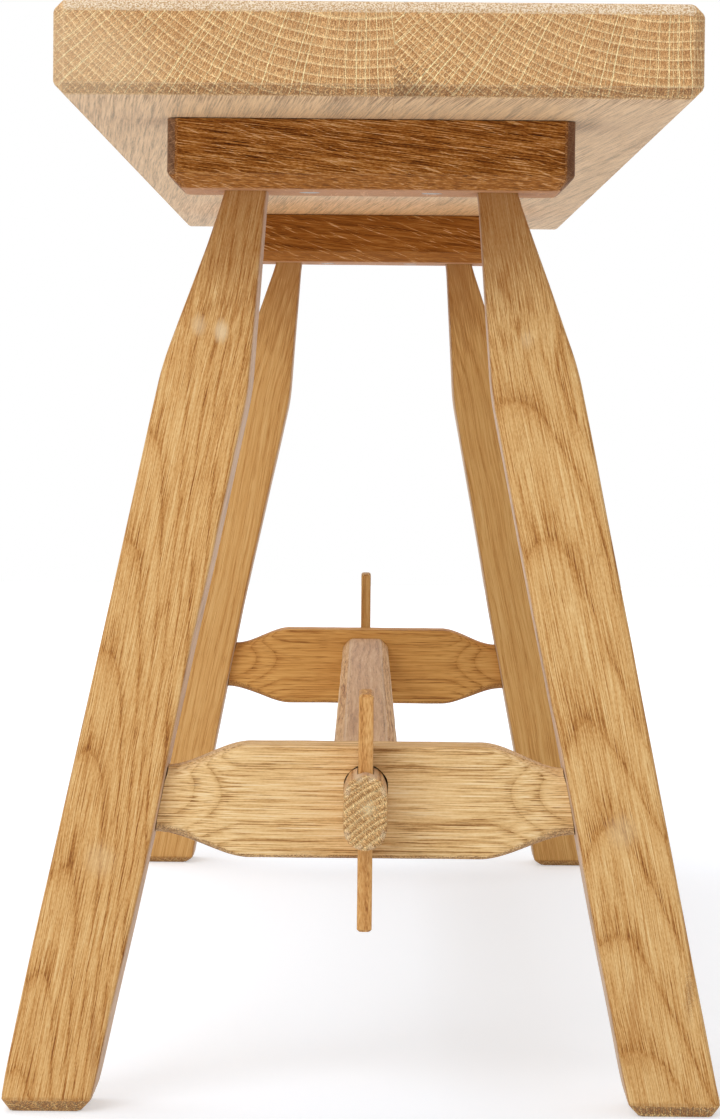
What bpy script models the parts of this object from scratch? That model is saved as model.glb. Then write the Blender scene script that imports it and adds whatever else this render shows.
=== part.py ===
"""A small wooden bench: a two-board seat on two splayed trestles, joined by a keyed stretcher.

Metres, +Z up. X runs across the bench, Y along it. The front trestle is at -Y. The origin is on the
floor, midway between the four feet.
"""
import math

import bmesh
import bpy

# Clearances
FIT_GAP = 0.0003            # between any two pieces that meet
CUT_OVERRUN = 0.002         # how far a cut runs past the surface it opens

# Seat
SEAT_HEIGHT = 0.450         # floor to the top of the seat
SEAT_LENGTH = 1.000
SEAT_WIDTH = 0.253
SEAT_THICKNESS = 0.037
SEAT_CHAMFER = 0.0043       # along every outer edge
SEAT_JOINT_STEP = 0.006     # glue joint, right of the seat's own middle
SEAT_SIDE_STEP = 0.0025     # middle of the seat, right of the trestles' middle
SEAT_OVERHANG = 0.1075      # batten's outer face to the end of the seat

# Battens that carry the seat
BATTEN_LENGTH = 0.171
BATTEN_WIDTH = 0.057
BATTEN_HEIGHT = 0.029
BATTEN_FOOT_CHAMFER = 0.006
BATTEN_CORNER = 0.004       # upright chamfers at the four corners

# Legs
LEG_SPLAY_DEGREES = 11.3    # sideways
LEG_RAKE_DEGREES = 6.0      # towards the nearer end of the seat
LEG_TOP_SPREAD = 0.102      # between the two leg centre lines, at half the batten's height
LEG_FOOT_WIDTH = 0.0403
LEG_SHOULDER_WIDTH = 0.0373
LEG_DEPTH = 0.035
LEG_NECK_LENGTH = 0.080     # the tapered part under the batten, down its middle
LEG_SHOULDER_RISE = 0.012   # outer end of the shoulder above its inner end
LEG_ARRIS = 0.0012
LEG_FOOT_CHAMFER = 0.004
LEG_TENON_WIDTH = 0.0158
LEG_TENON_DEPTH = 0.019

# Wedges in the tops of the leg tenons
WEDGE_LENGTH = 0.018
WEDGE_HEAD = 0.0032
WEDGE_TIP = 0.0008

# Cross stretchers, one between the legs of each trestle
CROSS_CENTRE_HEIGHT = 0.128
CROSS_HEIGHT = 0.0472
CROSS_THICKNESS = 0.026
CROSS_STRAIGHT = 0.096      # the full-height middle part
CROSS_NECK_HEIGHT = 0.0278
CROSS_NECK_THICKNESS = 0.019
CROSS_ARRIS = 0.0012
CROSS_NECK_CORNER = 0.004
CROSS_TENON_HEIGHT = 0.020
CROSS_TENON_THICKNESS = 0.013
CROSS_TENON_LENGTH = 0.022
CROSS_TENON_CORNER = 0.002

# Long stretcher and its through tenons
LONG_WIDTH = 0.0289
LONG_HEIGHT = 0.036
LONG_CHAMFER = 0.005
LONG_SHOULDER_SIDE = 0.00525
LONG_SHOULDER_TOP = 0.0023
LONG_TENON_CORNER = 0.0055
LONG_TENON_CHAMFER = 0.0015
LONG_END_WOOD = 0.012       # tenon left beyond the key

# Keys, the loose wedges that lock the long stretcher
KEY_THICKNESS = 0.0062
KEY_TOP_DEPTH = 0.031
KEY_FOOT_DEPTH = 0.018
KEY_ABOVE = 0.032           # above the tenon
KEY_BELOW = 0.036           # below the tenon
KEY_CHAMFER = 0.001
KEY_DRAW = 0.0015           # slot starts this far inside the cross stretcher's face
REAR_KEY_LIFT = 0.010       # the rear key sits this much higher

# Screws up through each batten, one into each seat board
SCREW_SPREAD = 0.052
SCREW_LENGTH = 0.045
SCREW_HEAD = 0.009          # head diameter
SCREW_SHANK = 0.0045        # shank diameter
SCREW_POINT = 0.006
SCREW_SINK = 0.0001         # head below the batten's face
SCREW_SLOT_WIDTH = 0.0012
SCREW_SLOT_DEPTH = 0.0011

# Shapes with no size of their own
SCREW_SIDES = 20
POINT_SHARE = 0.15          # screw point's flat, of the shank
CORNER_SHARE = 0.5          # batten's corner chamfer at its foot, of that at its top
CARVE_SHARES = (0.0, 0.12, 0.25, 0.38, 0.5, 0.62, 0.75, 0.88, 1.0)

# Places that follow from the sizes
SEAT_UNDER = SEAT_HEIGHT - SEAT_THICKNESS
BATTEN_TOP = SEAT_UNDER - FIT_GAP
BATTEN_UNDER = BATTEN_TOP - BATTEN_HEIGHT
BATTEN_MIDDLE = (BATTEN_TOP + BATTEN_UNDER) / 2
SHOULDER_HEIGHT = BATTEN_UNDER - LEG_NECK_LENGTH
TRESTLE_Y = SEAT_LENGTH / 2 - SEAT_OVERHANG - BATTEN_WIDTH / 2
SPLAY = math.tan(math.radians(LEG_SPLAY_DEGREES))
RAKE = math.tan(math.radians(LEG_RAKE_DEGREES))

# Wood and metal: colour as seen, roughness, metallic
WOODS = {
    "seat_oak": ("CFA878", 0.55, 0.0),
    "batten_oak": ("89562C", 0.60, 0.0),
    "leg_oak": ("CDA069", 0.55, 0.0),
    "front_cross_oak": ("D5B07C", 0.60, 0.0),
    "rear_cross_oak": ("B07D48", 0.60, 0.0),
    "long_oak": ("C19F7C", 0.60, 0.0),
    "key_oak": ("C9985F", 0.50, 0.0),
    "wedge_oak": ("A9743F", 0.60, 0.0),
    "screw_steel": ("A8A49C", 0.35, 1.0),
}


def clear_scene():
    for item in list(bpy.data.objects):
        bpy.data.objects.remove(item, do_unlink=True)


def linear(hex_colour):
    """An sRGB hex colour as linear red, green, blue and a solid alpha."""
    channels = [int(hex_colour[i:i + 2], 16) / 255 for i in (0, 2, 4)]
    return [c / 12.92 if c <= 0.04045 else ((c + 0.055) / 1.055) ** 2.4 for c in channels] + [1.0]


def material(name):
    found = bpy.data.materials.get(name)
    if found:
        return found
    colour, roughness, metallic = WOODS[name]
    made = bpy.data.materials.new(name)
    made.use_nodes = True
    shader = made.node_tree.nodes["Principled BSDF"]
    shader.inputs["Base Color"].default_value = linear(colour)
    shader.inputs["Roughness"].default_value = roughness
    shader.inputs["Metallic"].default_value = metallic
    return made


def add_object(name, mesh_builder, finish=None, location=(0, 0, 0)):
    """A named object from a filled bmesh. One without a finish is a cutter."""
    bmesh.ops.recalc_face_normals(mesh_builder, faces=mesh_builder.faces)
    mesh = bpy.data.meshes.new(name)
    mesh_builder.to_mesh(mesh)
    mesh_builder.free()
    made = bpy.data.objects.new(name, mesh)
    made.location = location
    bpy.context.scene.collection.objects.link(made)
    if finish:
        mesh.materials.append(material(finish))
    else:
        made.hide_render = True
        made.display_type = "WIRE"
    return made


def cut(piece, cutter):
    boolean = piece.modifiers.new("cut_" + cutter.name, "BOOLEAN")
    boolean.operation = "DIFFERENCE"
    boolean.solver = "EXACT"
    boolean.object = cutter


def cut_rectangle(half_a, half_b, corner):
    """Eight points round a rectangle whose corners are cut off."""
    near_a = half_a - corner
    near_b = half_b - corner
    return [
        (half_a, near_b), (near_a, half_b), (-near_a, half_b), (-half_a, near_b),
        (-half_a, -near_b), (-near_a, -half_b), (near_a, -half_b), (half_a, -near_b),
    ]


def loft(rings):
    """A closed body through rings of equally many points, flat at both ends."""
    body = bmesh.new()
    loops = [[body.verts.new(point) for point in ring] for ring in rings]
    for lower, upper in zip(loops, loops[1:]):
        for i in range(len(lower)):
            j = (i + 1) % len(lower)
            body.faces.new((lower[i], lower[j], upper[j], upper[i]))
    body.faces.new(loops[0])
    body.faces.new(loops[-1])
    return body


def box(low, high):
    rings = []
    for z in (low[2], high[2]):
        rings.append([(low[0], low[1], z), (high[0], low[1], z), (high[0], high[1], z), (low[0], high[1], z)])
    return loft(rings)


# Seat

def seat_board(name, joint_x, outer_x):
    """A plank with every edge chamfered except those along the glue joint."""
    half_length = SEAT_LENGTH / 2
    low_x, high_x = sorted((joint_x, outer_x))
    body = box((low_x, -half_length, 0), (high_x, half_length, SEAT_THICKNESS))
    outer_edges = [edge for edge in body.edges
                   if any(abs(corner.co.x - joint_x) > FIT_GAP for corner in edge.verts)]
    bmesh.ops.bevel(body, geom=outer_edges, offset=SEAT_CHAMFER, offset_type="OFFSET",
                    segments=1, profile=0.5, affect="EDGES")
    return add_object(name, body, "seat_oak", (SEAT_SIDE_STEP, 0, SEAT_UNDER))


def build_seat():
    left = seat_board("seat_board_left", SEAT_JOINT_STEP - FIT_GAP / 2, -SEAT_WIDTH / 2)
    right = seat_board("seat_board_right", SEAT_JOINT_STEP + FIT_GAP / 2, SEAT_WIDTH / 2)
    return left, right


# Battens

def batten(end, side):
    """A short bearer, chamfered round its foot and up its corners."""
    full = cut_rectangle(BATTEN_LENGTH / 2, BATTEN_WIDTH / 2, BATTEN_CORNER)
    foot = cut_rectangle(BATTEN_LENGTH / 2 - BATTEN_FOOT_CHAMFER, BATTEN_WIDTH / 2 - BATTEN_FOOT_CHAMFER,
                         BATTEN_CORNER * CORNER_SHARE)
    rings = [
        [(x, y, 0) for x, y in foot],
        [(x, y, BATTEN_FOOT_CHAMFER) for x, y in full],
        [(x, y, BATTEN_HEIGHT) for x, y in full],
    ]
    return add_object("batten_" + end, loft(rings), "batten_oak", (0, side * TRESTLE_Y, BATTEN_UNDER))


# Legs

def leg_centre(across, side, z):
    """Where a leg's centre line is at height z."""
    drop = BATTEN_MIDDLE - z
    return across * (LEG_TOP_SPREAD / 2 + drop * SPLAY), side * (TRESTLE_Y + drop * RAKE)


def leg_width(z):
    """Width along X of the straight part of a leg at height z."""
    return LEG_FOOT_WIDTH + (LEG_SHOULDER_WIDTH - LEG_FOOT_WIDTH) * z / SHOULDER_HEIGHT


def leg_ring(across, side, z, width, depth, corner):
    x, y = leg_centre(across, side, z)
    return [(x + a, y + b, z) for a, b in cut_rectangle(width / 2, depth / 2, corner)]


def shoulder_ring(across, side):
    """The sloping ring where the straight part of a leg ends and its neck begins."""
    ring = []
    for a, b in cut_rectangle(LEG_SHOULDER_WIDTH / 2, LEG_DEPTH / 2, LEG_ARRIS):
        z = SHOULDER_HEIGHT + across * LEG_SHOULDER_RISE * a / LEG_SHOULDER_WIDTH
        x, y = leg_centre(across, side, z)
        ring.append((x + a * leg_width(z) / LEG_SHOULDER_WIDTH, y + b, z))
    return ring


def leg_inner_x(z):
    """Distance from the middle plane to a leg's inner face at height z."""
    return leg_centre(1, 1, z)[0] - leg_width(z) / 2


def wedge_rings(across, side, play, rise):
    """Cross-sections of a leg tenon's wedge, grown by play on its faces and run on by rise."""
    foot_z = BATTEN_TOP - WEDGE_LENGTH
    reach = LEG_TENON_DEPTH / 2 + rise
    taper = (WEDGE_HEAD - WEDGE_TIP) / WEDGE_LENGTH
    rings = []
    for z in (foot_z - play, BATTEN_TOP + rise):
        x, y = leg_centre(across, side, z)
        half = WEDGE_TIP / 2 + taper * (z - foot_z) / 2 + play
        rings.append([(x - half, y - reach, z), (x + half, y - reach, z),
                      (x + half, y + reach, z), (x - half, y + reach, z)])
    return rings


def leg(name, across, side, carried_by):
    """A leg from its foot, through its tapered neck, to the tenon that fills the batten."""
    foot = [
        (0, leg_width(0) - 2 * LEG_FOOT_CHAMFER, LEG_DEPTH - 2 * LEG_FOOT_CHAMFER),
        (LEG_FOOT_CHAMFER, leg_width(LEG_FOOT_CHAMFER), LEG_DEPTH),
    ]
    rings = [leg_ring(across, side, z, width, depth, LEG_ARRIS) for z, width, depth in foot]
    rings.append(shoulder_ring(across, side))
    for z in (BATTEN_UNDER, BATTEN_TOP):
        rings.append(leg_ring(across, side, z, LEG_TENON_WIDTH, LEG_TENON_DEPTH, LEG_ARRIS))
    made = add_object(name, loft(rings), "leg_oak")

    hole_rings = []
    for z in (BATTEN_UNDER - CUT_OVERRUN, BATTEN_TOP + CUT_OVERRUN):
        hole_rings.append(leg_ring(across, side, z, LEG_TENON_WIDTH + 2 * FIT_GAP,
                                   LEG_TENON_DEPTH + 2 * FIT_GAP, LEG_ARRIS))
    cut(carried_by, add_object("cutter_batten_" + name, loft(hole_rings)))
    cut(made, add_object("cutter_kerf_" + name, loft(wedge_rings(across, side, FIT_GAP, CUT_OVERRUN))))
    add_object("tenon_wedge_" + name[len("leg_"):], loft(wedge_rings(across, side, 0, 0)), "wedge_oak")
    return made


# Cross stretchers

def cross_y():
    """Distance from the middle of the bench to the centre of a cross stretcher."""
    return leg_centre(1, 1, CROSS_CENTRE_HEIGHT)[1]


def blend(low, high, share):
    """From low to high along a smooth S."""
    return low + (high - low) * share * share * (3 - 2 * share)


def sloped_ring(across, side, offset, height, thickness, corner):
    """An upright section of a cross stretcher, sloped to lie offset beyond the leg's inner face."""
    ring = []
    for b, c in cut_rectangle(thickness / 2, height / 2, corner):
        z = CROSS_CENTRE_HEIGHT + c
        ring.append((across * (leg_inner_x(z) + offset), side * cross_y() + b, z))
    return ring


def cross_end(across, side):
    """The carved end of a cross stretcher and its tenon, from the straight part outwards."""
    rings = []
    start = CROSS_STRAIGHT / 2
    for share in CARVE_SHARES:
        height = blend(CROSS_HEIGHT, CROSS_NECK_HEIGHT, share)
        thickness = blend(CROSS_THICKNESS, CROSS_NECK_THICKNESS, share)
        corner = blend(CROSS_ARRIS, CROSS_NECK_CORNER, share)
        ring = []
        for b, c in cut_rectangle(thickness / 2, height / 2, corner):
            z = CROSS_CENTRE_HEIGHT + c
            reach = start + (leg_inner_x(z) - FIT_GAP - start) * share
            ring.append((across * reach, side * cross_y() + b, z))
        rings.append(ring)
    for offset in (-FIT_GAP, CROSS_TENON_LENGTH):
        rings.append(sloped_ring(across, side, offset, CROSS_TENON_HEIGHT, CROSS_TENON_THICKNESS,
                                 CROSS_TENON_CORNER))
    return rings


def cross_stretcher(end, side, legs):
    rings = list(reversed(cross_end(-1, side))) + cross_end(1, side)
    made = add_object("cross_stretcher_" + end, loft(rings), end + "_cross_oak")
    for across, carrier in zip((-1, 1), legs):
        socket = [sloped_ring(across, side, offset, CROSS_TENON_HEIGHT + 2 * FIT_GAP,
                              CROSS_TENON_THICKNESS + 2 * FIT_GAP, CROSS_TENON_CORNER)
                  for offset in (-CUT_OVERRUN, CROSS_TENON_LENGTH + FIT_GAP)]
        cut(carrier, add_object("cutter_socket_" + carrier.name, loft(socket)))
    return made


# Long stretcher

TENON_WIDTH = LONG_WIDTH - 2 * LONG_SHOULDER_SIDE
TENON_HEIGHT = LONG_HEIGHT - 2 * LONG_SHOULDER_TOP
TENON_TOP = CROSS_CENTRE_HEIGHT + TENON_HEIGHT / 2
TENON_UNDER = CROSS_CENTRE_HEIGHT - TENON_HEIGHT / 2
KEY_HEIGHT = KEY_ABOVE + TENON_HEIGHT + KEY_BELOW
KEY_SLOPE = (KEY_TOP_DEPTH - KEY_FOOT_DEPTH) / KEY_HEIGHT


def key_depth(z, lift):
    """Depth of a key at height z, when it sits lift higher than the front one."""
    return KEY_FOOT_DEPTH + KEY_SLOPE * (z - lift - (TENON_UNDER - KEY_BELOW))


def long_ring(y, width, height, corner):
    return [(a, y, CROSS_CENTRE_HEIGHT + b) for a, b in cut_rectangle(width / 2, height / 2, corner)]


def long_stretcher():
    """The long rail: a chamfered beam between the trestles, with a through tenon at each end."""
    shoulder = cross_y() - CROSS_THICKNESS / 2 - FIT_GAP
    tip = cross_y() + CROSS_THICKNESS / 2 + FIT_GAP + key_depth(TENON_TOP, 0) + LONG_END_WOOD
    small = 2 * LONG_TENON_CHAMFER
    half = [
        (tip, TENON_WIDTH - small, TENON_HEIGHT - small, LONG_TENON_CORNER),
        (tip - LONG_TENON_CHAMFER, TENON_WIDTH, TENON_HEIGHT, LONG_TENON_CORNER),
        (shoulder, TENON_WIDTH, TENON_HEIGHT, LONG_TENON_CORNER),
        (shoulder, LONG_WIDTH, LONG_HEIGHT, LONG_CHAMFER),
    ]
    rings = [long_ring(-y, *section) for y, *section in half]
    rings += [long_ring(y, *section) for y, *section in reversed(half)]
    return add_object("long_stretcher", loft(rings), "long_oak")


def mortise(cross, side):
    """The hole through a cross stretcher for the long stretcher's tenon."""
    reach = CROSS_THICKNESS / 2 + CUT_OVERRUN
    rings = [long_ring(side * cross_y() + y, TENON_WIDTH + 2 * FIT_GAP, TENON_HEIGHT + 2 * FIT_GAP,
                       LONG_TENON_CORNER) for y in (-reach, reach)]
    cut(cross, add_object("cutter_mortise_" + cross.name, loft(rings)))


# Keys

def key(end, side, lift, long_piece):
    """A loose wedge through the tenon, upright against the cross stretcher and sloped outside."""
    face = cross_y() + CROSS_THICKNESS / 2 + FIT_GAP
    foot_z = TENON_UNDER - KEY_BELOW + lift
    top_z = foot_z + KEY_HEIGHT
    rings = []
    for z, inset in ((foot_z, KEY_CHAMFER), (foot_z + KEY_CHAMFER, 0),
                     (top_z - KEY_CHAMFER, 0), (top_z, KEY_CHAMFER)):
        near = inset
        far = key_depth(z, lift) - inset
        half = KEY_THICKNESS / 2 - inset
        rings.append([(-half, side * near, z - foot_z), (half, side * near, z - foot_z),
                      (half, side * far, z - foot_z), (-half, side * far, z - foot_z)])
    add_object("key_" + end, loft(rings), "key_oak", (0, side * face, foot_z))

    half = KEY_THICKNESS / 2 + FIT_GAP
    near = cross_y() + CROSS_THICKNESS / 2 - KEY_DRAW
    slot = []
    for z in (TENON_UNDER - CUT_OVERRUN, TENON_TOP + CUT_OVERRUN):
        far = face + key_depth(z, lift) + FIT_GAP
        slot.append([(-half, side * near, z), (half, side * near, z),
                     (half, side * far, z), (-half, side * far, z)])
    cut(long_piece, add_object("cutter_slot_" + end, loft(slot)))


# Screws

def screw_rings(play, head_run):
    """Round sections of a countersunk screw that points up, grown by play, its head run on below."""
    head = SCREW_HEAD / 2 + play
    shank = SCREW_SHANK / 2 + play
    sink = (SCREW_HEAD - SCREW_SHANK) / 2
    profile = [(0, head), (sink, shank), (SCREW_LENGTH - SCREW_POINT, shank),
               (SCREW_LENGTH + play, shank * POINT_SHARE)]
    if head_run:
        profile.insert(0, (-head_run, head))
    rings = []
    for z, radius in profile:
        ring = []
        for i in range(SCREW_SIDES):
            angle = math.tau * i / SCREW_SIDES
            ring.append((radius * math.cos(angle), radius * math.sin(angle), z))
        rings.append(ring)
    return rings


def screw(end, side, hand, across, boards):
    """One countersunk screw and the holes it stands in."""
    place = (across * SCREW_SPREAD / 2, side * TRESTLE_Y, BATTEN_UNDER + SCREW_SINK)
    name = "screw_" + end + "_" + hand
    made = add_object(name, loft(screw_rings(0, 0)), "screw_steel", place)
    made.data.shade_smooth()
    made.data.set_sharp_from_angle(angle=math.radians(30))
    reach = SCREW_HEAD / 2 + CUT_OVERRUN
    slot = box((-reach, -SCREW_SLOT_WIDTH / 2, -CUT_OVERRUN), (reach, SCREW_SLOT_WIDTH / 2, SCREW_SLOT_DEPTH))
    cut(made, add_object("cutter_slot_" + name, slot, location=place))
    hole = add_object("cutter_hole_" + name, loft(screw_rings(FIT_GAP, CUT_OVERRUN)), location=place)
    for board in boards:
        cut(board, hole)


def build_bench():
    clear_scene()
    seat_left, seat_right = build_seat()
    rail = long_stretcher()
    for end, side, lift in (("front", -1, 0), ("rear", 1, REAR_KEY_LIFT)):
        bearer = batten(end, side)
        legs = [leg("leg_" + end + "_left", -1, side, bearer),
                leg("leg_" + end + "_right", 1, side, bearer)]
        mortise(cross_stretcher(end, side, legs), side)
        key(end, side, lift, rail)
        screw(end, side, "left", -1, (bearer, seat_left))
        screw(end, side, "right", 1, (bearer, seat_right))


build_bench()
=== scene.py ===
import math
from functools import partial

import bmesh
import bpy
import numpy as np
from mathutils import Matrix, Vector


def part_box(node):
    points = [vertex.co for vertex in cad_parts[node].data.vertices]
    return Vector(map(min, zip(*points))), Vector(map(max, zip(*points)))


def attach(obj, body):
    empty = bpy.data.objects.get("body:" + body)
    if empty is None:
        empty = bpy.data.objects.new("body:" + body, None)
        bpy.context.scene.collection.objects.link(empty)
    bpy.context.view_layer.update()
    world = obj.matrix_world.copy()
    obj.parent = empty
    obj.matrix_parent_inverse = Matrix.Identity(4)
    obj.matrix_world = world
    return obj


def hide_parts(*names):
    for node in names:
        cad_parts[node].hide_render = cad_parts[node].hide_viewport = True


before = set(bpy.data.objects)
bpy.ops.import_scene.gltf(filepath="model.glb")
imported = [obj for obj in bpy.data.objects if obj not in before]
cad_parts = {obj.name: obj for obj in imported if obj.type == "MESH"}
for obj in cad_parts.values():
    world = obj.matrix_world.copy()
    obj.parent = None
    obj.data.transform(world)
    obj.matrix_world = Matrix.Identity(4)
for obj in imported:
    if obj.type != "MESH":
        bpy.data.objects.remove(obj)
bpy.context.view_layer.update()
mm = 0.001
gap = 0.3 * mm              # round every tenon, wedge and key
hair = 0.01 * mm            # just inside an end, where a CAD solid can still be measured
overrun = 2 * mm            # how far a cutter stands out of the wood it cuts
endRim = 1.5 * mm           # how far a flat end runs inwards before its cap closes it
weld = 0.004 * mm           # points closer than this become one
creaseDegrees = 38          # sharper edges stay crisp
handSigns = {"left": -1, "right": 1}        # which way of X
endSigns = {"front": -1, "rear": 1}         # which way of Y


# Measuring the frame

def nodeTriangles(node):
    # a CAD node's triangles: count x 3 corners x 3 coordinates
    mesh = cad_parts[node].data
    places = np.empty(len(mesh.vertices) * 3)
    mesh.vertices.foreach_get("co", places)
    mesh.calc_loop_triangles()
    index = np.empty(len(mesh.loop_triangles) * 3, dtype=np.int32)
    mesh.loop_triangles.foreach_get("vertices", index)
    return places.reshape(-1, 3)[index].reshape(-1, 3, 3)


def slices(node, axis, levels):
    # lowest and highest of the other two coordinates where each plane (axis = level) cuts a CAD node
    starts = nodeTriangles(node)
    ends = np.roll(starts, -1, axis=1).reshape(-1, 3)
    starts = starts.reshape(-1, 3)
    others = [i for i in range(3) if i != axis]
    low, high = [], []
    for level in levels:
        crossing = (starts[:, axis] < level) != (ends[:, axis] < level)
        a, b = starts[crossing], ends[crossing]
        share = (level - a[:, axis]) / (b[:, axis] - a[:, axis])
        met = (a + share[:, None] * (b - a))[:, others]
        low.append(met.min(0))
        high.append(met.max(0))
    return np.array(low), np.array(high)


# Shapes

def soften(corners, rounding, flats, arcSteps=4, closed=True):
    # corners: rows x corners x 2. Straight edges, with `flats` points each, are joined by parabolas that
    # leave an edge one rounding short of its corner. Wear is 1 in the middle of a parabola, 0 on an edge.
    past = np.roll(corners, 1, axis=1) - corners
    coming = np.roll(corners, -1, axis=1) - corners
    pastLength = np.linalg.norm(past, axis=2, keepdims=True)
    comingLength = np.linalg.norm(coming, axis=2, keepdims=True)
    rounding = np.broadcast_to(rounding, corners.shape[:2])[:, :, None]
    reach = np.minimum(rounding, 0.49 * np.minimum(pastLength, comingLength))    # two arcs never meet
    if not closed:
        reach = reach.copy()
        reach[:, [0, -1]] = 0
    enter = corners + past * reach / np.maximum(pastLength, 1e-9)
    leave = corners + coming * reach / np.maximum(comingLength, 1e-9)
    t = np.linspace(0, 1, arcSteps + 1)[None, :, None]
    outline, wear = [], []
    last = corners.shape[1] - 1
    for k in range(last + 1):
        here = corners[:, k, None]
        if closed or 0 < k < last:
            arc = (1 - t) ** 2 * enter[:, k, None] + 2 * t * (1 - t) * here + t ** 2 * leave[:, k, None]
            outline.append(arc)
            wear.append((4 * t * (1 - t))[0, :, 0])
        else:
            outline.append(here)
            wear.append(np.zeros(1))
        if closed or k < last:
            s = np.linspace(0, 1, flats[k] + 2)[None, 1:-1, None]
            following = enter[:, (k + 1) % (last + 1), None]
            outline.append(leave[:, k, None] * (1 - s) + following * s)
            wear.append(np.zeros(flats[k]))
    return np.concatenate(outline, axis=1), np.concatenate(wear)


def waves(points, length, seed):
    # slow tool waves between 0 and 1: the mean of six sines that run in unlike directions
    draw = np.random.default_rng(seed)
    directions = draw.normal(size=(6, 3))
    directions /= np.linalg.norm(directions, axis=1, keepdims=True)
    pitch = length * draw.uniform(0.6, 1.7, 6)
    phases = draw.uniform(0, math.tau, 6)
    return 0.5 + 0.5 * np.sin(points @ (directions / pitch[:, None] * math.tau).T + phases).mean(axis=-1)


def gridVolume(grid):
    # six times the volume inside rings joined in order, by the sum of each quad's two corner products
    a, b = grid[:-1], np.roll(grid, -1, axis=1)[:-1]
    c, d = np.roll(grid, -1, axis=1)[1:], grid[1:]
    middle = grid.mean(axis=(0, 1))
    a, b, c, d = a - middle, b - middle, c - middle, d - middle
    return (np.cross(a, b) * c).sum() + (np.cross(a, c) * d).sum()


def outwardStep(grid):
    # the step through a ring's points that makes the faces point outwards
    return 1 if gridVolume(grid) > 0 else -1


def gridNormals(grid):
    # unit cross product of the steps round a ring and along the rings, none where these nearly line up
    around = np.roll(grid, -1, axis=1) - np.roll(grid, 1, axis=1)
    along = np.gradient(grid, axis=0)
    normal = np.cross(around, along)
    size = np.linalg.norm(normal, axis=2, keepdims=True)
    steps = np.linalg.norm(around, axis=2, keepdims=True) * np.linalg.norm(along, axis=2, keepdims=True)
    return np.where(size > 0.1 * steps, normal / np.maximum(size, 1e-15), 0)


def relief(grid, wear, look, seed, held):
    # each point goes in along its normal, by a hand tool's waves, and on an arris by chips as well
    depth = look["waveDepth"] * waves(grid, look["waveLength"] * mm, seed)
    chips = waves(grid, 9 * mm, seed + 1)
    depth = np.where(held, 0, depth + look.get("arrisWear", 0.25) * wear * chips)
    return grid - gridNormals(grid) * depth[:, :, None] * mm


def closeEnds(grid, wear, steps=5):
    # each end is closed by copies of its ring drawn in towards the ring's middle
    shares = np.linspace(1, 0, steps + 1)[1:-1, None, None]
    first, last = grid[:1], grid[-1:]
    lead, tail = (ring.mean(axis=1, keepdims=True) + (ring - ring.mean(axis=1, keepdims=True)) * drawnIn
                  for ring, drawnIn in ((first, shares[::-1]), (last, shares)))
    still = np.zeros((steps - 1, grid.shape[1]))
    return np.concatenate([lead, grid, tail]), np.concatenate([still, wear, still])


def gridMesh(name, grids, wears):
    # quads between neighbouring rings, and a fan of triangles to one point at each end
    points, faces, worn, offset = [], [], [], 0
    for grid, wear in zip(grids, wears):
        rings, around = grid.shape[:2]
        index = np.arange(rings * around).reshape(rings, around) + offset
        following = np.roll(index, -1, axis=1)
        quads = np.stack([index[:-1], following[:-1], following[1:], index[1:]], axis=-1).reshape(-1, 4)
        tips = offset + rings * around + np.array([0, 1])
        firstFan = np.stack([following[0], index[0], np.full(around, tips[0])], axis=-1)
        lastFan = np.stack([index[-1], following[-1], np.full(around, tips[1])], axis=-1)
        points += [grid.reshape(-1, 3), grid[0].mean(0)[None], grid[-1].mean(0)[None]]
        worn += [wear.ravel(), np.zeros(2)]
        faces += quads.tolist() + firstFan.tolist() + lastFan.tolist()
        offset += rings * around + 2
    mesh = bpy.data.meshes.new(name)
    mesh.from_pydata(np.concatenate(points), [], faces)
    worn = np.concatenate(worn).astype(np.float32)
    mesh.attributes.new("wear", "FLOAT", "POINT").data.foreach_set("value", worn)
    return mesh


def addObject(name, data):
    made = bpy.data.objects.new(name, data)
    bpy.context.scene.collection.objects.link(made)
    return made


def finishMesh(mesh):
    # double points become one, and only creases stay sharp
    welded = bmesh.new()
    welded.from_mesh(mesh)
    bmesh.ops.remove_doubles(welded, verts=welded.verts, dist=weld)
    bmesh.ops.dissolve_degenerate(welded, edges=welded.edges, dist=weld)
    welded.to_mesh(mesh)
    welded.free()
    mesh.shade_smooth()
    mesh.set_sharp_from_angle(angle=math.radians(creaseDegrees))


def addPiece(node, rings, wear, look, material, seed, body="bench", held=False):
    # one surface through the rings, worn, closed, dressed and riding on its body in place of its CAD node,
    # whose name it takes: seat_board_left becomes seatBoardLeft
    first, *others = node.split("_")
    name = first + "".join(word.capitalize() for word in others)
    wear, held = (np.broadcast_to(values, rings.shape[:2]) for values in (wear, held))
    step = outwardStep(rings)
    rings, wear, held = rings[:, ::step], wear[:, ::step], held[:, ::step]
    rings = relief(rings, wear, look, seed, held)
    rings, wear = closeEnds(rings, wear)
    mesh = gridMesh(name, [rings], [wear])
    piece = addObject(name, mesh)
    mesh.materials.append(material)
    finishMesh(mesh)
    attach(piece, body)
    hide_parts(node)
    return piece


def hollow(piece, cutters):
    # holes and slots: closed cutters taken out of the piece, and the result kept as its mesh
    cutters = [cutter[:, ::outwardStep(cutter)] for cutter in cutters]
    tool = addObject("tool", gridMesh("tool", cutters, [np.zeros(c.shape[:2]) for c in cutters]))
    cut = piece.modifiers.new("holes", "BOOLEAN")
    cut.operation = "DIFFERENCE"
    cut.solver = "EXACT"
    cut.object = tool
    bpy.context.view_layer.update()
    solved = bpy.data.meshes.new_from_object(piece.evaluated_get(bpy.context.evaluated_depsgraph_get()))
    piece.modifiers.remove(cut)
    old = piece.data
    solved.name = old.name + "_cut"
    piece.data = solved
    bpy.data.meshes.remove(old)
    bpy.data.objects.remove(tool)
    finishMesh(solved)


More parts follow.
